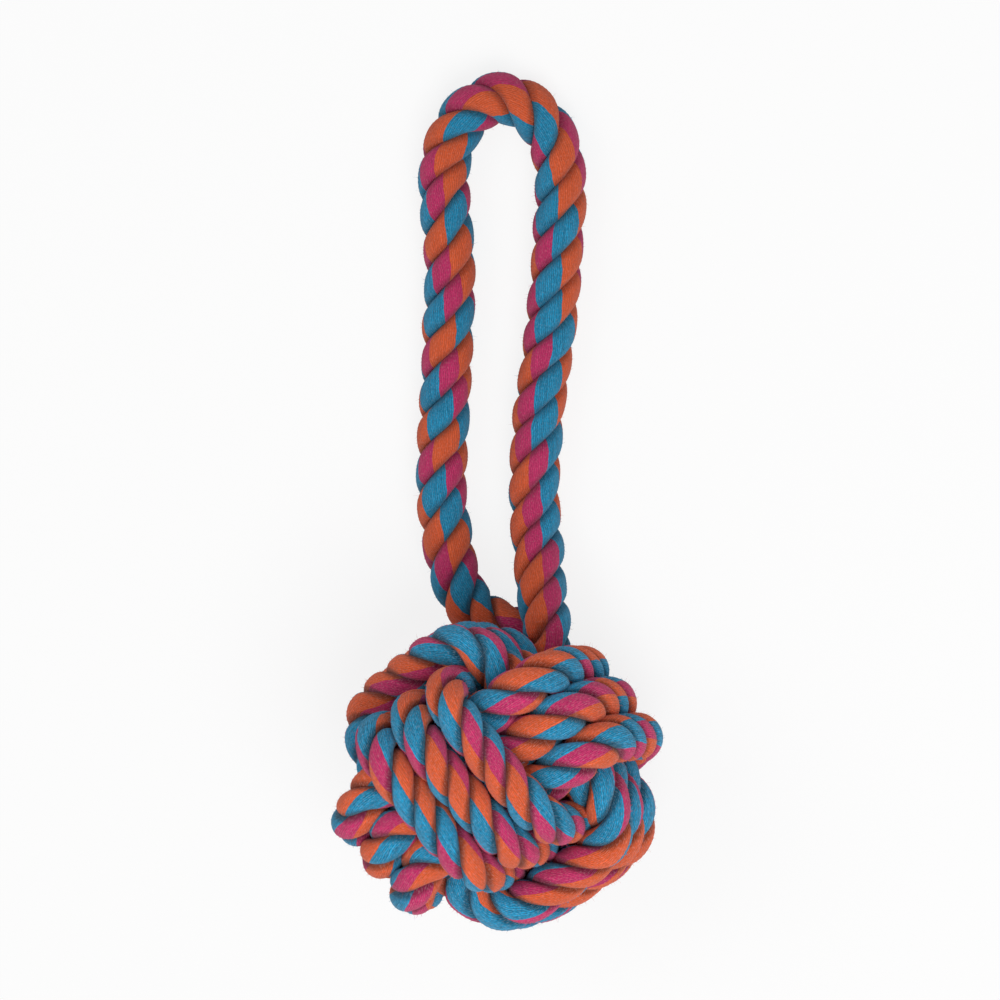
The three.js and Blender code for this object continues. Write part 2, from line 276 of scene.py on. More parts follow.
second += [(end_u - x * L, end_v - 0.07 * x * L, end_w) for x in (0.5, 1.0, 1.5)]

third = [(-c * L, -(T + L), third_back[0]) for c in (1.45, 1.3, 1.15)]
for k in range(3):
    wind(third, half_turn(1, -1, third_corner, -T, T, third_back[k], third_front[k], BULGE[k]))
    after = third_back[k + 1] if k < 2 else third_back[2] - T
    wind(third, half_turn(-1, 1, third_corner, T, -T, third_front[k], after, LEFT_BULGE, LEFT_LEAN[k] * T))
end_u, end_v, end_w = third[-1]
third += [(end_u + x, end_v + y, end_w) for x, y in ((4.5, 2.0), (8.0, 6.0))]
print("second winding:", len(second), "points, third winding:", len(third), "points")

# %% [markdown]
# The three windings share the ball's own axes: out of its upper face, along the front turns and across them.
# They are turned from the loop by 54 degrees. Each list is set in its own order of those axes. The laid rope
# is fuller than its CAD tube, so its line is drawn in to keep the ball's outer size.

# %% Place the windings
KNOT_TURNED = math.radians(54)
E1 = np.array([0.0, 0.0, 1.0])
E2 = np.array([math.cos(KNOT_TURNED), -math.sin(KNOT_TURNED), 0.0])
E3 = np.array([math.sin(KNOT_TURNED), math.cos(KNOT_TURNED), 0.0])
PRESSED = (0.97, 0.94, 0.97)  # how far each winding's line is drawn in


def on_ball(a, b, c, pressed):
    """A place on the ball's axes, in millimetres, as a point of the frame."""
    return BALL_MIDDLE + (a * E1 + b * E2 + c * E3) * pressed * MM


first_line = smooth_route([on_ball(u, v, w, PRESSED[0]) for u, v, w in first], STEP)
second_line = smooth_route([on_ball(w, u, v, PRESSED[1]) for u, v, w in second], STEP)
third_line = smooth_route([on_ball(v, w, u, PRESSED[2]) for u, v, w in third], STEP)
for name, line in (("first", first_line), ("second", second_line), ("third", third_line)):
    print(name, "winding:", round(lengths(line)[-1], 3), "m of rope")

# %% [markdown]
# A laid rope's strands turn once in each pitch, and the yarns turn in the strands. Both are counted along the
# rope. Each stretch has its own pitch, because tying the knot works more or less twist into it, and its own
# start, set to the photograph. In its first centimetres it takes over the count that the stretch before it
# ended with, or a seam would show where the two meet.

# %% Follow a line with rope
LOOP_ACROSS, KNOT_ACROSS = 18.0 * MM, 16.4 * MM  # the rope is drawn thinner where it is pulled tight
SETTLE = 60 * MM  # length in which a stretch comes to its own count


def follow(line, pitch, yarn_turns, across, lay, dye, before=None):
    """One stretch of rope: its line, axes across it, length, turns of strands and yarns, and thickness."""
    ahead = np.gradient(line, axis=0)
    ahead /= np.linalg.norm(ahead, axis=1)[:, None]
    last = before["side"][-1] if before else np.cross(ahead[0], (0.0, 0.0, 1.0))
    side = np.empty_like(line)
    for i, t in enumerate(ahead):
        last = last - last.dot(t) * t
        last /= np.linalg.norm(last)
        side[i] = last
    run = lengths(line)
    gone = np.diff(run) / np.broadcast_to(pitch, run.shape)[1:]
    turns = lay + np.concatenate([[0.0], np.cumsum(gone)])
    yarns = turns[:, None] * np.array(yarn_turns) + np.array(dye)
    if before:
        settle = 1 - ease(run / SETTLE)
        lay_gap, dye_gap = before["turns"][-1] - turns[0], before["yarns"][-1] - yarns[0]
        turns = turns + settle * (lay_gap - np.round(lay_gap))
        yarns = yarns + settle[:, None] * (dye_gap - np.round(dye_gap))
        run = run + before["run"][-1]
    return {"line": line, "side": side, "other": np.cross(ahead, side), "run": run, "turns": turns,
            "yarns": yarns, "across": across * np.ones(len(line)), "handled_and_shade": np.ones(len(line))}


print("the rope is", LOOP_ACROSS / MM, "mm across in the loop and", KNOT_ACROSS / MM, "mm in the ball")

# %% [markdown]
# Rope ends in two ways here. Where it is pushed in between other turns, it thins to a round tip. Where it is
# only divided, so that two pieces can follow different joints, both sides of the cut keep one shading.

# %% Tucked ends and cuts
TUCK_LONG, TUCK_THIN = 9 * MM, 0.12  # a tucked end thins to this part of the rope
END_RING = 0.15 * MM  # from a cut to the ring next to it


def tuck(stretch, at_start, at_end):
    """Thins a stretch to a round tip at the ends that are pushed in between other turns."""
    run = stretch["run"]
    from_tip = np.minimum(run - run[0] if at_start else TUCK_LONG, run[-1] - run if at_end else TUCK_LONG)
    t = np.clip(from_tip / TUCK_LONG, 0, 1)
    stretch["across"] *= TUCK_THIN + (1 - TUCK_THIN) * np.sqrt(t * (2 - t))


def part_of(stretch, start, stop):
    """The stretch between two lengths, with close rings at both ends, so that a cut keeps its shading."""
    n = max(4, round((stop - start) / STEP))
    inner = np.linspace(start, stop, n + 1)[1:-1]
    along = np.concatenate([[start, start + END_RING], inner, [stop - END_RING, stop]])
    cut = {"run": along}
    for key in ("line", "side", "other", "yarns"):
        cut[key] = np.column_stack([np.interp(along, stretch["run"], stretch[key][:, k]) for k in range(3)])
    for key in ("turns", "across", "handled_and_shade"):
        cut[key] = np.interp(along, stretch["run"], stretch[key])
    return cut


print("a tucked end is", round(TUCK_THIN * KNOT_ACROSS / MM, 1), "mm across at its tip")

# %% [markdown]
# Now the four routes become one rope, from the right root over the loop to the end of the third winding.
# Tying the knot roughened the rope in the ball, and the loop stayed smooth, so each point also says how much
# it was handled. The same number weights the painted shade that makes the loop darker and the knot's grooves
# deeper. The first winding is drawn thinner, so that dark gaps show between its turns, and the second is
# fuller inside the ball, where nothing draws it tight.

# %% One rope from end to end
RIGHT_PITCH, CROWN_PITCH, LEFT_PITCH = 39.87 * MM, 37.66 * MM, 38.49 * MM  # length of one turn of a strand
RIGHT_LONG, CROWN_LONG = 158 * MM, 104 * MM  # lengths of the right side and of the crown
LOOP_YARN_TURNS = (2.195, 2.162, 2.133)  # turns of the yarns in each strand, in one turn of the strands
LOOP_LAY, LOOP_DYE = 0.272, (0.015, 0.809, 0.33)  # where the strands and their colours start, in turns
KNOT_PITCH = (33.5 * MM, 32.9 * MM, 34.5 * MM)  # the same four for the three windings
KNOT_YARN_TURNS = (1.834, 1.499, 1.958)
KNOT_LAY, KNOT_DYE = (0.919, 0.471, 0.037), (0.206, 0.314, 0.042)
STRAND_DYE = (0.0, 0.625, -0.04)  # how the three strands' colours stand to each other in the knot
NECK_LONG = 26 * MM  # length of the loop's ends that was handled with the knot
FRONT_DRAWN = 0.1  # how much thinner the first winding is drawn
HIDDEN_FULL = 0.18  # how much fuller the second winding is inside
HIDDEN_FROM, HIDDEN_EASE = 32 * MM, 10 * MM  # how far from the ball's middle that begins, and over what length

loop_run = lengths(loop_line)
on_right, on_crown = loop_run < RIGHT_LONG, loop_run < RIGHT_LONG + CROWN_LONG
loop_pitch = np.select([on_right, on_crown], [RIGHT_PITCH, CROWN_PITCH], LEFT_PITCH)
loop = follow(loop_line, loop_pitch, LOOP_YARN_TURNS, LOOP_ACROSS, LOOP_LAY, LOOP_DYE)
from_ball = np.minimum(loop["run"], loop["run"][-1] - loop["run"])
loop["handled_and_shade"] = 1 - ease(from_ball / NECK_LONG)
loop["across"] = LOOP_ACROSS + (KNOT_ACROSS - LOOP_ACROSS) * loop["handled_and_shade"]
rope = [loop]
for n, line in enumerate((first_line, second_line, third_line)):
    strand_dye = [KNOT_DYE[n] + d for d in STRAND_DYE]
    yarn_turns = (KNOT_YARN_TURNS[n],) * 3
    rope.append(follow(line, KNOT_PITCH[n], yarn_turns, KNOT_ACROSS, KNOT_LAY[n], strand_dye, rope[-1]))
first_run = rope[1]["run"] - rope[1]["run"][0]
rope[1]["across"] *= 1 - FRONT_DRAWN * ease(np.minimum(first_run, first_run[-1] - first_run) / SETTLE)
second_out = np.abs((second_line - BALL_MIDDLE) @ E2)
rope[2]["across"] *= 1 + HIDDEN_FULL * ease((HIDDEN_FROM - second_out) / HIDDEN_EASE)
tuck(rope[2], False, True)
tuck(rope[3], True, True)
strand_turns = sum(stretch["turns"][-1] - stretch["turns"][0] for stretch in rope)
print("the whole rope is", round(rope[-1]["run"][-1], 2), "m long")
print("its strands turn", round(strand_turns), "times")

# %% [markdown]
# Laid rope is three strands twisted together one way, and each strand is yarns twisted the other way, so that
# at the crest of a strand the yarns run along the rope. A round tube with a bump map would keep a round
# outline. Here each strand is its own swept mesh, so the outline has real scallops and the grooves are deep.
# The UV map is the dye's own chart: U counts turns round the strand, following the yarns, and V is metres
# along the rope.

# %% Lay three strands
STRAND_OUT = 4.7 / 9.0  # strand's middle from the rope's middle, as a part of the rope's radius
STRAND_DEEP = 4.3 / 9.0  # half a strand's thickness, outwards
STRAND_WIDE = 5.6 / 9.0  # half its width round the rope, more than its thickness because it slants
SLANT = 0.045  # a strand is cut aslant by the rope's cross-section, so its yarns stand closer at the crest
UNEVEN = ((0.025, 2.75 * MM, 2.1), (0.02, 6.54 * MM, 4.0))  # a strand's swell, its length and its offset
SIDES = 22


def lay_strands(stretch):
    """Rings of points and dye chart of each strand: arrays of rings, sides and coordinates."""
    around = np.linspace(-math.pi, math.pi, SIDES + 1)
    r, run = stretch["across"] / 2, stretch["run"]
    strands = []
    for k in range(3):
        turn = 2 * math.pi * (stretch["turns"] + k / 3)[:, None]
        out = np.cos(turn) * stretch["side"] + np.sin(turn) * stretch["other"]
        beside = -np.sin(turn) * stretch["side"] + np.cos(turn) * stretch["other"]
        uneven = 1 + sum(swell * np.sin(run / long + offset * k) for swell, long, offset in UNEVEN)
        deep = (r * STRAND_OUT)[:, None] + (r * STRAND_DEEP * uneven)[:, None] * np.cos(around[:-1])
        wide = (r * STRAND_WIDE * uneven)[:, None] * np.sin(around[:-1])
        across = deep[:, :, None] * out[:, None] + wide[:, :, None] * beside[:, None]
        rings = stretch["line"][:, None] + across
        rings[:, :, 2] = np.maximum(rings[:, :, 2], 0.0)  # the floor presses it flat
        u = around / (2 * math.pi) + SLANT * np.sin(around) + stretch["yarns"][:, k][:, None]
        chart = np.stack([u, np.repeat(run[:, None], SIDES + 1, axis=1)], axis=2)
        strands.append({"rings": rings, "chart": chart, "crest": np.cos(around[:-1]),
                        "handled_and_shade": stretch["handled_and_shade"],
                        "middle": stretch["line"] + (r * STRAND_OUT)[:, None] * out})
    return strands


print("a strand of the loop is", round(STRAND_DEEP * LOOP_ACROSS / MM, 1), "mm thick")

# %% [markdown]
# Cotton rope is never clean-edged: short fibres stand off it all over. A hair system could grow them, but
# hair doesn't export, so each fibre is a tiny three-sided spike in the same mesh, which takes the colour of
# the yarn at its root from the dye chart. They are drawn thicker than real fibres, or they would vanish.

# %% Stray fibres
LOOP_FIBRES, KNOT_FIBRES = 80, 200  # on each centimetre of rope: more where it was handled into the knot
FIBRE_THICK = 0.045 * MM
FIBRE_LEAST, FIBRE_MORE = 0.5 * MM, 1.6 * MM  # the shortest fibre, and how much longer the few longest are
FIBRE_SUNK = 0.15 * MM  # its root lies this far under the yarn's surface
FIBRE_OFF = 0.6  # part of its length that goes straight off the strand, and as much goes any way
FIBRE_CORNERS = (0, 2.094, 4.189)  # a third of a turn apart, in radians
FIBRE_CREST = 0.1  # fibres grow where the crest is above this, so that none grow inside the rope
BARE_RINGS = 3  # rings without fibres at each end
chance = np.random.default_rng(11)


def stray_fibres(strand, count):
    """Points, faces and chart places of short fibres that stand off a strand."""
    rings = strand["rings"]
    i = chance.integers(BARE_RINGS, len(rings) - BARE_RINGS, count)
    j = chance.choice(np.nonzero(strand["crest"] > FIBRE_CREST)[0], count)
    root = rings[i, j]
    off = root - strand["middle"][i]
    off /= np.linalg.norm(off, axis=1)[:, None]
    lean = chance.normal(0, 1, (count, 3))
    lean /= np.linalg.norm(lean, axis=1)[:, None]
    long = (FIBRE_LEAST + FIBRE_MORE * chance.random(count) ** 3)[:, None]
    tip = root + long * FIBRE_OFF * (off + lean)
    a = np.cross(off, lean)
    a /= np.linalg.norm(a, axis=1)[:, None] + 1e-9
    b = np.cross(off, a)
    corners = [root - FIBRE_SUNK * off + (math.cos(f) * a + math.sin(f) * b) * FIBRE_THICK
               for f in FIBRE_CORNERS]
    points = np.stack(corners + [tip], axis=1)
    points[:, :, 2] = np.maximum(points[:, :, 2], 0.0)
    spike = [(0, 1, 3), (1, 2, 3), (2, 0, 3), (2, 1, 0)]
    faces = [tuple(4 * n + x for x in f) for n in range(count) for f in spike]
    return points.reshape(-1, 3), faces, strand["chart"][i, j]


print("fibres stand off by up to", round((FIBRE_LEAST + FIBRE_MORE) * 2 * FIBRE_OFF / MM, 1), "mm")

# %% [markdown]
# A finished piece of rope is one mesh: three strands with closed ends, and the fibres on them. The mesh
# carries the dye chart as its UV map, and two numbers at each point for the material. One is how near the
# point is to the crest of its strand, which sets the painted groove shade. The other is how much the rope was
# handled there, which also weights painted shade. Strands are shaded smooth, and caps and fibres flat.

# %% A piece of rope
def rope_piece(name, stretch, fibres_per_cm):
    """The mesh object of a stretch of rope."""
    points, faces, charts, crests, handled_and_shade, base = [], [], [], [], [], 0
    for strand in lay_strands(stretch):
        rings, chart = strand["rings"], strand["chart"]
        n = len(rings)
        points += [rings.reshape(-1, 3), strand["middle"][[0, -1]]]
        crests += [np.tile(strand["crest"], n), [0.0, 0.0]]
        handled_and_shade += [np.repeat(strand["handled_and_shade"], SIDES), strand["handled_and_shade"][[0, -1]]]
        i, j = (x.ravel() for x in np.mgrid[0:n - 1, 0:SIDES])
        k = (j + 1) % SIDES
        skin = [i * SIDES + j, i * SIDES + k, (i + 1) * SIDES + k, (i + 1) * SIDES + j]
        faces += (base + np.stack(skin, axis=1)).tolist()
        places = [chart[i, j], chart[i, j + 1], chart[i + 1, j + 1], chart[i + 1, j]]
        charts.append(np.stack(places, axis=1).reshape(-1, 2))
        j = np.arange(SIDES)
        for ring, tip, turned in ((0, n * SIDES, True), (n - 1, n * SIDES + 1, False)):
            pair = [ring * SIDES + (j + 1) % SIDES, ring * SIDES + j]
            pair = pair if turned else pair[::-1]
            faces += (base + np.stack(pair + [np.full(SIDES, tip)], axis=1)).tolist()
            charts.append(np.repeat(chart[ring, j], 3, axis=0))
        base += n * SIDES + 2
        count = int(fibres_per_cm * (stretch["run"][-1] - stretch["run"][0]) / (10 * MM) / 3)
        if count:
            more, spikes, places = stray_fibres(strand, count)
            points.append(more)
            crests.append(np.ones(len(more)))
            handled_and_shade.append(np.full(len(more), np.mean(strand["handled_and_shade"])))
            faces += [tuple(base + x for x in f) for f in spikes]
            charts.append(np.repeat(places, 12, axis=0))
            base += len(more)
    mesh = bpy.data.meshes.new(name)
    mesh.from_pydata(np.vstack(points).tolist(), [], faces)
    mesh.uv_layers.new(name="dye_chart").data.foreach_set("uv", np.vstack(charts).astype(np.float32).ravel())
    for key, rows in (("crest", crests), ("handled_and_shade", handled_and_shade)):
        values = np.concatenate(rows).astype(np.float32)
        mesh.attributes.new(key, "FLOAT", "POINT").data.foreach_set("value", values)
    mesh.polygons.foreach_set("use_smooth", [len(f) == 4 for f in faces])
    piece = bpy.data.objects.new(name, mesh)
    bpy.context.scene.collection.objects.link(piece)
    print(name, "has", sum(len(f) - 2 for f in faces), "triangles")
    return piece


print("each ring of a strand has", SIDES, "points")

# %% [markdown]
# The loop is cut into five stretches, because each one may bend at one joint only: two roots that sway at the
# ball, two feet that swing, and the long loop, which folds half-way up.

# %% Hand loop
ROOT_END, FOOT_END = 59.0 * MM, 92.0 * MM  # where the stretches meet, along the frame's Y


def length_at(y, right):
    """Length along the loop where its line crosses y, on its right or left side."""
    rows = np.nonzero(np.diff(np.sign(loop["line"][:, 1] - y)))[0]
    i = rows[0] if right else rows[-1]
    return float(np.interp(0, *zip(*sorted(((loop["line"][n, 1] - y), loop["run"][n]) for n in (i, i + 1)))))


cuts = [0.0, length_at(ROOT_END, True), length_at(FOOT_END, True),
        length_at(FOOT_END, False), length_at(ROOT_END, False), loop["run"][-1]]
print("the loop is cut at", [round(c / MM, 1) for c in cuts], "mm of its length")
names = ("rope_root_right", "rope_foot_right", "rope_hand_loop", "rope_foot_left", "rope_root_left")
root_right, foot_right, hand_loop, foot_left, root_left = (
    rope_piece(name, part_of(loop, a, b), LOOP_FIBRES) for name, a, b in zip(names, cuts, cuts[1:]))

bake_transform(root_right)
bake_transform(root_left)
for foot in (foot_left, foot_right):
    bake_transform(foot)
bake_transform(hand_loop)
loop_nodes = ((root_right, "root_right"), (foot_right, "leg_right"), (hand_loop, "loop_top"),
              (foot_left, "leg_left"), (root_left, "root_left"))
for piece, node in loop_nodes:
    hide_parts(node)

# %% [markdown]
# The hand loop is a rope that leaves the object and goes back into it.

# %% [markdown]
# The ball's three windings are laid with the same rope. Pulled tight, the turns press into each other: the
# strands of neighbours sink together by about a millimetre, which hides the gaps between the CAD tubes.

# %% Windings of the ball
windings = []
for stretch, node in zip(rope[1:], ("first_winding", "second_winding", "third_winding")):
    piece = rope_piece("rope_" + node, stretch, KNOT_FIBRES)
    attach(piece, "ball")
    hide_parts(node)
    windings.append(piece)

# %% [markdown]
# Inside, the turns are wound round a core, which is usually an overhand knot in the rope's end. Only dark
# glimpses of it show between the turns, so a short knotted rope on a trefoil route is enough.

# %% Core knot
CORE_ACROSS = 15.0 * MM
TREFOIL_SIZE = 6.0 * MM  # a third of how far its line reaches out
TREFOIL_TALL = 2.2  # how far it goes up and down, in sizes
TREFOIL_OPEN = 0.3  # the closed trefoil is opened by this angle at each end of the rope
TREFOIL_POINTS = 40

core_low, core_high = (np.array(c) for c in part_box("core_knot"))
core_middle = (core_low + core_high) / 2
f = np.linspace(TREFOIL_OPEN, 2 * math.pi - TREFOIL_OPEN, TREFOIL_POINTS)
trefoil = np.column_stack([np.sin(f) + 2 * np.sin(2 * f), np.cos(f) - 2 * np.cos(2 * f),
                           -TREFOIL_TALL * np.sin(3 * f)])
knot_line = smooth_route(core_middle + trefoil * TREFOIL_SIZE, STEP)
core_stretch = follow(knot_line, KNOT_PITCH[0], (KNOT_YARN_TURNS[0],) * 3, CORE_ACROSS, 0.0, STRAND_DYE)
tuck(core_stretch, True, True)
core = rope_piece("rope_core_knot", core_stretch, 0)
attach(core, "ball")
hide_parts("core_knot")

# %% [markdown]
# Dyed cotton yarn is quite matt, with a soft sheen from its fibres at grazing angles. Each strand holds three
# bundles of yarn, dyed teal, orange and magenta, so the colours wind round it as bands. The material works on
# the dye chart: a count of 38 yarns round a strand, a random shade for each yarn, and bands that end on a
# yarn's edge.

# %% Small helpers for materials
def linear(hex_colour):
    """A colour written in sRGB, as the linear values that Blender's shaders use."""
    parts = [int(hex_colour[k:k + 2], 16) / 255 for k in (1, 3, 5)]
    return tuple(c / 12.92 if c <= 0.04045 else ((c + 0.055) / 1.055) ** 2.4 for c in parts) + (1.0,)


def add_node(tree, kind, inputs=None, **settings):
    """Adds a node with its settings. An input is a value, a socket, or a node for its first output."""
    node = tree.nodes.new(kind)
    for name, value in settings.items():
        setattr(node, name, value)
    for name, value in (inputs or {}).items():
        value = value.outputs[0] if isinstance(value, bpy.types.Node) else value
        if isinstance(value, bpy.types.NodeSocket):
            tree.links.new(value, node.inputs[name])
        else:
            node.inputs[name].default_value = value
    return node


print("the grey #808080 is", round(linear("#808080")[0], 3), "in linear light")

# %% [markdown]
# All the unevenness of the yarn is noise on the dye chart. Each kind has its own grain: so many spots round a
# strand, and a length along it in millimetres, so that streaks run with the yarns. A real fibre is about
# 0.02 mm thick, far too fine to show, so fuzz, lint and fibre are drawn about as wide as a yarn or half of it.

# %% Grain of the yarn
# Spun cotton: no gloss, fine lines along the yarns, pale flecks of undyed lint and painted shade in the gaps
# between yarns.
YARNS = 38  # round a strand, so that a yarn is about 0.7 mm wide at the crest
GRAIN = {"ragged": (9, 6.0, 3.0), "patch": (3, 14.0, 2.0), "streak": (1.2 * YARNS, 4.0, 2.0),
         "fuzz": (0.8 * YARNS, 1.0, 3.0), "lint": (2.0 * YARNS, 0.8, 2.0),
         "fibre": (1.5 * YARNS, 1.4, 3.0)}  # spots round, mm along, detail
cotton = bpy.data.materials.new("dyed_cotton_rope")
cotton.use_nodes = True
tree = cotton.node_tree
shader = tree.nodes["Principled BSDF"]
chart = add_node(tree, "ShaderNodeUVMap", uv_map="dye_chart")
grain = {}
for name, (spots_round, spot_long, detail) in GRAIN.items():
    scale = (spots_round, 1 / (spot_long * MM), 1.0)
    spread = add_node(tree, "ShaderNodeMapping", {"Vector": chart, "Scale": scale})
    spots = {"Vector": spread, "Scale": 1.0, "Detail": detail}
    grain[name] = add_node(tree, "ShaderNodeTexNoise", spots, noise_dimensions="2D")
print("grain of the yarn:", ", ".join(grain))

# %% [markdown]
# The dye comes next. The chart's U is cut into yarns, each with a number and a chance shade, and the number
# says which of the three bundles it belongs to. A little noise keeps the edges of the bundles from being ruled
# lines. The ramp's alpha isn't used for see-through here: it holds how clearly the yarns stand apart in each
# dye.

# %% Dyed yarns
TEAL, ORANGE, MAGENTA = "#1B84AD", "#D65A31", "#BE2D64"
TEAL_LINES, ORANGE_LINES, MAGENTA_LINES = 1.0, 0.5, 0.6  # how clearly the yarns stand apart in each dye
TEAL_SHARE, ORANGE_SHARE = 0.35, 0.36  # parts of the way round a strand, and magenta has the rest
WANDER = 0.9  # how far a yarn wanders to either side, in yarns
STRAY_MOST, STRAY_BACK = 1.6, -0.3  # how far a yarn can stray into the next bundle or back, in yarns
turn_count = add_node(tree, "ShaderNodeSeparateXYZ", {"Vector": chart}).outputs["X"]
ragged = add_node(tree, "ShaderNodeMath", {0: grain["ragged"], 1: 2 * WANDER, 2: -WANDER},
                  operation="MULTIPLY_ADD")
yarn = add_node(tree, "ShaderNodeMath", {0: turn_count, 1: YARNS, 2: ragged}, operation="MULTIPLY_ADD")
yarn_floor = add_node(tree, "ShaderNodeMath", {0: yarn}, operation="FLOOR")
yarn_number = add_node(tree, "ShaderNodeMath", {0: yarn_floor, 1: YARNS}, operation="FLOORED_MODULO")
yarn_part = add_node(tree, "ShaderNodeMath", {0: yarn}, operation="FRACT")
shade = add_node(tree, "ShaderNodeTexWhiteNoise", {"W": yarn_number}, noise_dimensions="1D").outputs["Value"]
strayed = add_node(tree, "ShaderNodeMath", {0: shade, 1: STRAY_MOST, 2: STRAY_BACK}, operation="MULTIPLY_ADD")
bundle_yarn = add_node(tree, "ShaderNodeMath", {0: yarn_number, 1: strayed}, operation="ADD")
bundle_part = add_node(tree, "ShaderNodeMath", {0: bundle_yarn, 1: YARNS}, operation="DIVIDE")
bundle = add_node(tree, "ShaderNodeMath", {0: bundle_part}, operation="FRACT")
dye = add_node(tree, "ShaderNodeValToRGB", {"Fac": bundle})
dye.color_ramp.interpolation = "CONSTANT"
dye.color_ramp.elements[0].color = linear(TEAL)[:3] + (TEAL_LINES,)
dye.color_ramp.elements[1].color = linear(ORANGE)[:3] + (ORANGE_LINES,)
dye.color_ramp.elements[1].position = TEAL_SHARE
dye.color_ramp.elements.new(TEAL_SHARE + ORANGE_SHARE).color = linear(MAGENTA)[:3] + (MAGENTA_LINES,)
print("the rope's dyes:", TEAL, ORANGE, MAGENTA, "in", YARNS, "yarns")

# %% [markdown]
# A dyed yarn isn't one flat colour: its tone varies from yarn to yarn and along each one. Painted shade is
# laid over that. The colour darkens in the grooves where strands meet, more so in the ball, and at the edges
# of each yarn, and the rope of the loop is painted darker and more even. A Mix node's sockets go by number: 0
# is the share, 2 and 3 are two numbers, 6 and 7 two colours.

# %% Tone and painted shade of the rope
GROOVE_SHADE_LOOP, GROOVE_SHADE_KNOT = 0.62, -0.22  # painted shade: how light a groove is painted in the loop, and what the knot adds to that
GROOVE_SHADE_FROM, GROOVE_SHADE_TO = -0.1, 0.65  # where the painted groove shade ends and the crest begins
LOOP_SHADE_TIMES, LOOP_SHADE_PLUS = 0.55, 0.24  # painted shade that makes the loop's rope darker and more even
# A yarn's back is an arch: the part of its width up to a point, times the rest of its width.
yarn_rest = add_node(tree, "ShaderNodeMath", {0: 1.0, 1: yarn_part}, operation="SUBTRACT")
yarn_back = add_node(tree, "ShaderNodeMath", {0: yarn_part, 1: yarn_rest}, operation="MULTIPLY")
crest = add_node(tree, "ShaderNodeAttribute", attribute_name="crest").outputs["Fac"]
handled_and_shade = add_node(tree, "ShaderNodeAttribute", attribute_name="handled_and_shade").outputs["Fac"]
# Painted shade: the colour darkens towards the grooves where strands meet, more in the knot than in the loop.
painted_groove_darkest = add_node(tree, "ShaderNodeMath", {0: handled_and_shade, 1: GROOVE_SHADE_KNOT, 2: GROOVE_SHADE_LOOP},
                       operation="MULTIPLY_ADD")
groove_shade_range = {"Value": crest, "From Min": GROOVE_SHADE_FROM, "From Max": GROOVE_SHADE_TO,
                "To Min": painted_groove_darkest, "To Max": 1.0}
painted_groove_shade = add_node(tree, "ShaderNodeMapRange", groove_shade_range, interpolation_type="SMOOTHSTEP")
# Painted shade: the yarn's arch darkens each yarn's edges, where yarns meet. The other four sources are the
# yarn's own uneven tone.
LEVELS = ((shade, 0.28, 0.86), (grain["patch"], 0.4, 0.8), (grain["streak"], 0.62, 0.69),
          (grain["fuzz"], 1.2, 0.4), (yarn_back, 2.8, 0.53))  # source, times, plus
level = painted_groove_shade
for source, more, least in LEVELS:
    part = add_node(tree, "ShaderNodeMath", {0: source, 1: more, 2: least}, operation="MULTIPLY_ADD")
    level = add_node(tree, "ShaderNodeMath", {0: level, 1: part}, operation="MULTIPLY")
level = add_node(tree, "ShaderNodeMix", {0: dye.outputs["Alpha"], 2: painted_groove_shade, 3: level}, data_type="FLOAT")
# Painted shade: the loop's rope is drawn darker and more even than the ball's.
loop_painted_shade = add_node(tree, "ShaderNodeMath", {0: level, 1: LOOP_SHADE_TIMES, 2: LOOP_SHADE_PLUS},
                       operation="MULTIPLY_ADD")
level = add_node(tree, "ShaderNodeMix", {0: handled_and_shade, 2: loop_painted_shade, 3: level}, data_type="FLOAT")
shaded = add_node(tree, "ShaderNodeVectorMath", {0: dye, "Scale": level}, operation="SCALE")
print(len(LEVELS), "kinds of unevenness set the shade")

# %% [markdown]
# Lint shows as pale flecks, tinted by the dye round them and stronger on handled rope. The bump gives each
# yarn a round back and some fibre. What is the same all over is set on the shader itself: cotton is rough,
# with hardly any gloss and a little sheen.

# %% Lint and relief of the rope
LINT = "#F4F0EA"  # undyed cotton
LINT_TINTED = 0.5  # how far a fleck is from the dye to undyed cotton
LINT_LOOP, LINT_KNOT = 0.15, 0.15  # how strong a fleck is in the loop, and what the knot adds to that
FLECK_FROM, FLECK_TO = 0.5, 0.8  # a fleck comes up between these values of its noise
FIBRE_RELIEF = 0.2  # how much the fibre adds to the height of the yarns' backs
lint_most = add_node(tree, "ShaderNodeMath", {0: handled_and_shade, 1: LINT_KNOT, 2: LINT_LOOP},
                     operation="MULTIPLY_ADD")
fleck_range = {"Value": grain["lint"], "From Min": FLECK_FROM, "From Max": FLECK_TO,
               "To Min": 0.0, "To Max": lint_most}
fleck = add_node(tree, "ShaderNodeMapRange", fleck_range)
tinted = {0: LINT_TINTED, 6: dye, 7: linear(LINT)}
faded = add_node(tree, "ShaderNodeMix", tinted, data_type="RGBA").outputs[2]
colour = add_node(tree, "ShaderNodeMix", {0: fleck, 6: shaded, 7: faded}, data_type="RGBA").outputs[2]
fibre_part = add_node(tree, "ShaderNodeMath", {0: grain["fibre"], 1: FIBRE_RELIEF}, operation="MULTIPLY")
height = add_node(tree, "ShaderNodeMath", {0: yarn_back, 1: fibre_part}, operation="ADD")
relief = add_node(tree, "ShaderNodeBump", {"Height": height, "Distance": 0.9 * MM, "Strength": 0.7})
tree.links.new(colour, shader.inputs["Base Color"])
tree.links.new(relief.outputs["Normal"], shader.inputs["Normal"])
shader.inputs["Roughness"].default_value = 0.92
shader.inputs["Specular IOR Level"].default_value = 0.2
shader.inputs["Sheen Weight"].default_value = 0.12
shader.inputs["Sheen Roughness"].default_value = 0.5

for piece in (root_right, foot_right, hand_loop, foot_left, root_left, *windings):
    piece.data.materials.append(cotton)
core.data.materials.append(cotton)
print(len(tree.nodes), "nodes in", cotton.name)

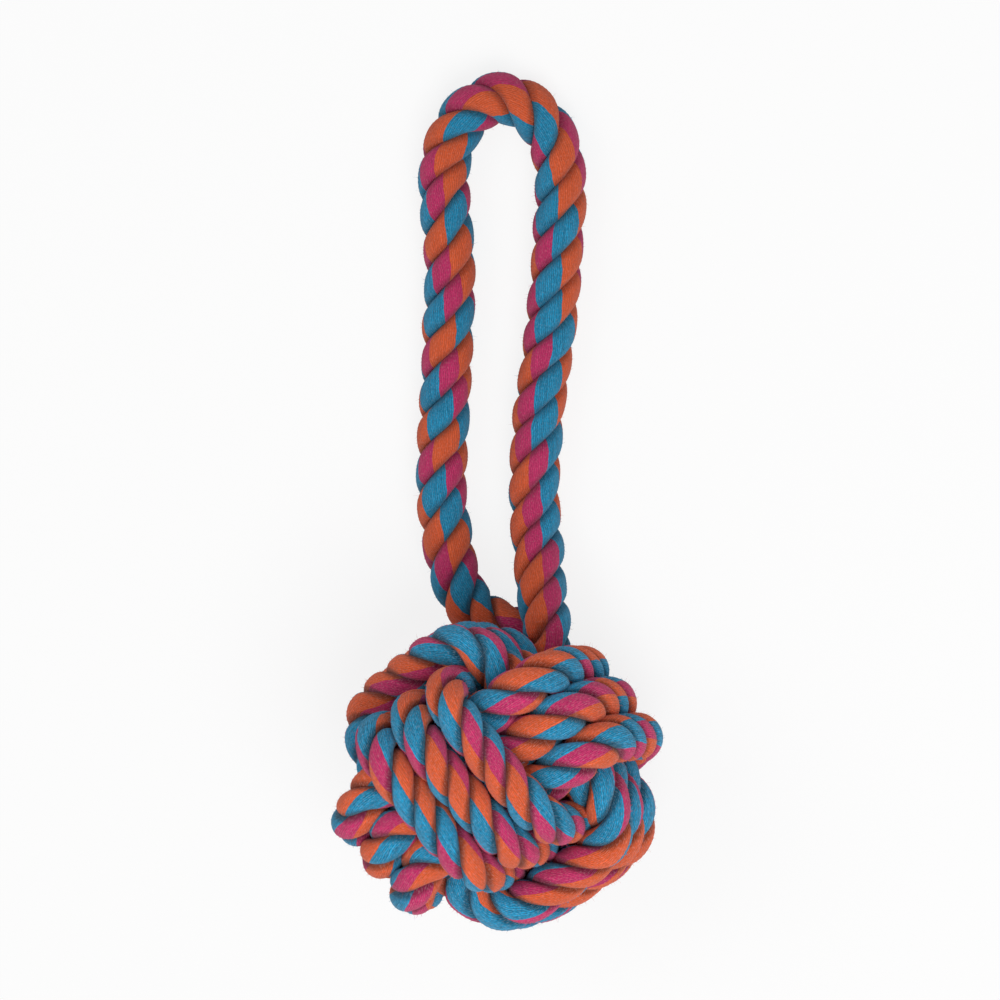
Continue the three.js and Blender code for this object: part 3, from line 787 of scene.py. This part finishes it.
# %% [markdown]
# The floor is a plain pale sheet. Rays from the camera see it mostly white, as the photograph's background
# is, and all other rays see a pale grey, so that it bounces a usual amount of light. It keeps a faint shadow
# of the toy. The sky will need the same test of rays, so a function adds it to a node tree.

# %% Floor
FLOOR_WIDE, FLOOR_DROP = 6.0, 0.2 * MM  # the sheet lies a hair under the toy
PAPER = "#E6E6E6"
SEEN_WHITE = 0.82  # how much of the sheet's look is plain white, and the rest takes the shadow


def rays_to_lens(tree):
    """A socket that is 1 for rays that the camera sees directly, in a mirror or through glass."""
    rays = add_node(tree, "ShaderNodeLightPath").outputs
    seen = rays["Is Camera Ray"]
    for kind in ("Is Glossy Ray", "Is Transmission Ray"):
        seen = add_node(tree, "ShaderNodeMath", {0: seen, 1: rays[kind]}, operation="MAXIMUM").outputs[0]
    return seen


bpy.ops.object.select_all(action="DESELECT")
bpy.ops.mesh.primitive_plane_add(size=FLOOR_WIDE, location=(0, 0, -FLOOR_DROP))
floor = bpy.context.object
floor.name = "floor"
bpy.ops.object.transform_apply(location=True, rotation=True, scale=True)
paper = bpy.data.materials.new("matt_white_paper")
paper.use_nodes = True
sheet = paper.node_tree
matt = sheet.nodes["Principled BSDF"]
matt.inputs["Base Color"].default_value = linear(PAPER)
matt.inputs["Roughness"].default_value = 1.0
matt.inputs["Specular IOR Level"].default_value = 0.0
white = add_node(sheet, "ShaderNodeEmission", {"Color": (1.0, 1.0, 1.0, 1.0), "Strength": 1.0})
part_white = add_node(sheet, "ShaderNodeMath", {0: rays_to_lens(sheet), 1: SEEN_WHITE}, operation="MULTIPLY")
mixed = add_node(sheet, "ShaderNodeMixShader", {0: part_white, 1: matt, 2: white}).outputs[0]
sheet.links.new(mixed, sheet.nodes["Material Output"].inputs["Surface"])
floor.data.materials.append(paper)
floor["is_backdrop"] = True
print("floor:", floor.dimensions.x, "m across")

# %% [markdown]
# Plain soft studio light: a bright sky all round for the even fill, one wide soft box in front on the right,
# nearer to the ball, that gives the strands their roundness, and a weaker one behind on the left.

# %% Light
LIT_PLACE = Vector((0.0, 0.08, 0.0))  # what both boxes point at
SKY_LIGHT = 0.4  # the sky's strength as light, and the lens sees it at 1, which is white


def soft_box(name, place, size, power):
    """A square area lamp that points at the toy."""
    lamp = bpy.data.objects.new(name, bpy.data.lights.new(name, "AREA"))
    bpy.context.scene.collection.objects.link(lamp)
    lamp.data.shape, lamp.data.size, lamp.data.energy = "SQUARE", size, power
    lamp.location = place
    lamp.rotation_euler = (LIT_PLACE - Vector(place)).to_track_quat("-Z", "Y").to_euler()
    print(name, power, "W,", size, "m across")


soft_box("key_box", (0.6, -0.45, 1.6), 1.1, 22.0)
soft_box("fill_box", (-1.0, 0.5, 1.5), 1.1, 7.0)
world = bpy.data.worlds.new("studio")
bpy.context.scene.world = world
world.use_nodes = True
sky = world.node_tree
seen_white = {0: rays_to_lens(sky), 2: SKY_LIGHT, 3: 1.0}
strength = add_node(sky, "ShaderNodeMix", seen_white, data_type="FLOAT").outputs[0]
sky.links.new(strength, sky.nodes["Background"].inputs["Strength"])
sky.nodes["Background"].inputs["Color"].default_value = (1.0, 1.0, 1.0, 1.0)
bpy.context.scene.view_settings.view_transform = "Standard"

# %% [markdown]
# Last, the visual model's box is set beside the CAD model's box, because rope may stand a little proud of its
# tubes but the toy may not grow.

# %% Sizes and finish
visual_box = [[float(x) for x in corner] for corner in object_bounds()]
for label, (low, high) in (("CAD", cad_box), ("visual", visual_box)):
    print(label, "box in mm:", [round((h - l) / MM, 1) for l, h in zip(low, high)])
